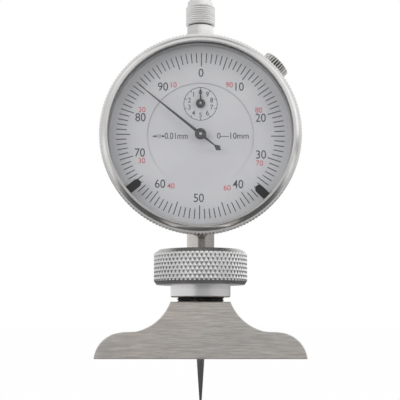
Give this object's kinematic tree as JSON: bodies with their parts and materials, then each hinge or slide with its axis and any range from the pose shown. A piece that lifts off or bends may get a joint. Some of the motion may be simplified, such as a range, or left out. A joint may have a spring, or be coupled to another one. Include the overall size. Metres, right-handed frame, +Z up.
{
  "type": "dial depth gauge",
  "caption": "Dial depth gauge: a round dial indicator with turning bezel, limit markers and long needle contact, clamped by its stem in a flared steel depth base",
  "frame": {"origin": "centre of the depth base's measuring face, on the spindle's axis", "axes": "+Z up along the spindle towards the lift cap, -Y out of the dial's face, +X to the right seen from the dial's front"},
  "size_m": [0.06, 0.0272, 0.1201],
  "materials": {
    "ground_steel": "fine brushed",
    "satin_chrome": "satin chrome",
    "bright_steel": "bright ground",
    "black_oxide": "black oxide",
    "cast_aluminium": "satin",
    "brass": "turned",
    "dial_face": "matt pale grey",
    "pointer_metal": "dark anodised",
    "crystal_clear": "clear polished",
    "spring_steel": "drawn wire",
    "marker_black": "smooth"
  },
  "bodies": {
    "depth_base": {"base": "ground_steel", "collet": "black_oxide"},
    "clamp_nut": {"clamp_nut": "satin_chrome"},
    "stem": {"stem": "bright_steel", "lower_bush": "brass"},
    "case": {"case": "cast_aluminium", "back_cover": "satin_chrome", "upper_sleeve": "bright_steel", "upper_bush": "brass", "snap_ring": "spring_steel", "clamp_shoe": "satin_chrome", "main_plate": "brass", "bridge": "brass", "bridge_pillars": "brass", "pinion_cock": "brass", "guide_block": "brass", "spring_post": "bright_steel", "return_spring": "spring_steel", "hairspring": "spring_steel", "hairspring_stud": "brass", "centre_dial": "dial_face"},
    "spindle": {"spindle": "bright_steel", "contact_needle": "bright_steel", "lift_cap": "bright_steel", "guide_pin": "bright_steel"},
    "pinion_arbor": {"rack_pinion": "bright_steel", "first_wheel": "brass"},
    "centre_arbor": {"centre_pinion": "bright_steel", "main_pointer": "pointer_metal", "main_pointer_hub": "pointer_metal"},
    "counter_arbor": {"counter_arbor": "bright_steel", "counter_wheel": "brass", "hairspring_collet": "brass", "counter_pointer": "pointer_metal", "counter_pointer_hub": "pointer_metal"},
    "bezel": {"bezel": "satin_chrome", "crystal": "crystal_clear", "dial_spacer_ring": "cast_aluminium", "dial_ring": "dial_face"},
    "limit_marker_left": {"limit_marker_left": "marker_black"},
    "limit_marker_right": {"limit_marker_right": "marker_black"},
    "bezel_clamp_screw": {"bezel_clamp_screw": "satin_chrome"}
  },
  "joints": [
    {"name": "clamp_nut_turn", "type": "hinge", "parent": "depth_base", "child": "clamp_nut", "pos_m": [0, 0, 0.0243], "axis": [0, 0, 1], "range_deg": [0, 180]},
    {"name": "gauge_height", "type": "slide", "parent": "depth_base", "child": "stem", "axis": [0, 0, 1], "range_m": [-0.003, 0.006]},
    {"name": "gauge_swivel", "type": "hinge", "parent": "stem", "child": "case", "pos_m": [0, 0, 0.04], "axis": [0, 0, 1], "continuous": true},
    {"name": "spindle_slide", "type": "slide", "parent": "case", "child": "spindle", "axis": [0, 0, 1], "range_m": [0, 0.01], "stiffness_N_per_m": 60, "springref_m": -0.01, "deforming": ["return_spring"]},
    {"name": "rack_pinion_turn", "type": "hinge", "parent": "case", "child": "pinion_arbor", "pos_m": [-0.00319, 0, 0.05521], "axis": [0, 1, 0], "range_deg": [-360, 0]},
    {"name": "centre_turn", "type": "hinge", "parent": "case", "child": "centre_arbor", "pos_m": [0, 0, 0.064], "axis": [0, 1, 0], "range_deg": [0, 3600]},
    {"name": "counter_turn", "type": "hinge", "parent": "case", "child": "counter_arbor", "pos_m": [0, 0, 0.07335], "axis": [0, 1, 0], "range_deg": [-360, 0]},
    {"name": "bezel_turn", "type": "hinge", "parent": "case", "child": "bezel", "pos_m": [0, 0, 0.064], "axis": [0, 1, 0], "continuous": true},
    {"name": "limit_marker_left_turn", "type": "hinge", "parent": "bezel", "child": "limit_marker_left", "pos_m": [0, 0, 0.064], "axis": [0, 1, 0], "range_deg": [-42, 118]},
    {"name": "limit_marker_right_turn", "type": "hinge", "parent": "bezel", "child": "limit_marker_right", "pos_m": [0, 0, 0.064], "axis": [0, 1, 0], "range_deg": [-125, 42]},
    {"name": "bezel_clamp_turn", "type": "hinge", "parent": "case", "child": "bezel_clamp_screw", "pos_m": [0, 0, 0.064], "axis": [0.7071, 0, 0.7071], "range_deg": [0, 180]}
  ],
  "couplings": [
    {"joint": "rack_pinion_turn", "follows": "spindle_slide", "rad_per_m": -628.32},
    {"joint": "centre_turn", "follows": "spindle_slide", "rad_per_m": 6283.2},
    {"joint": "counter_turn", "follows": "spindle_slide", "rad_per_m": -628.32}
  ]
}
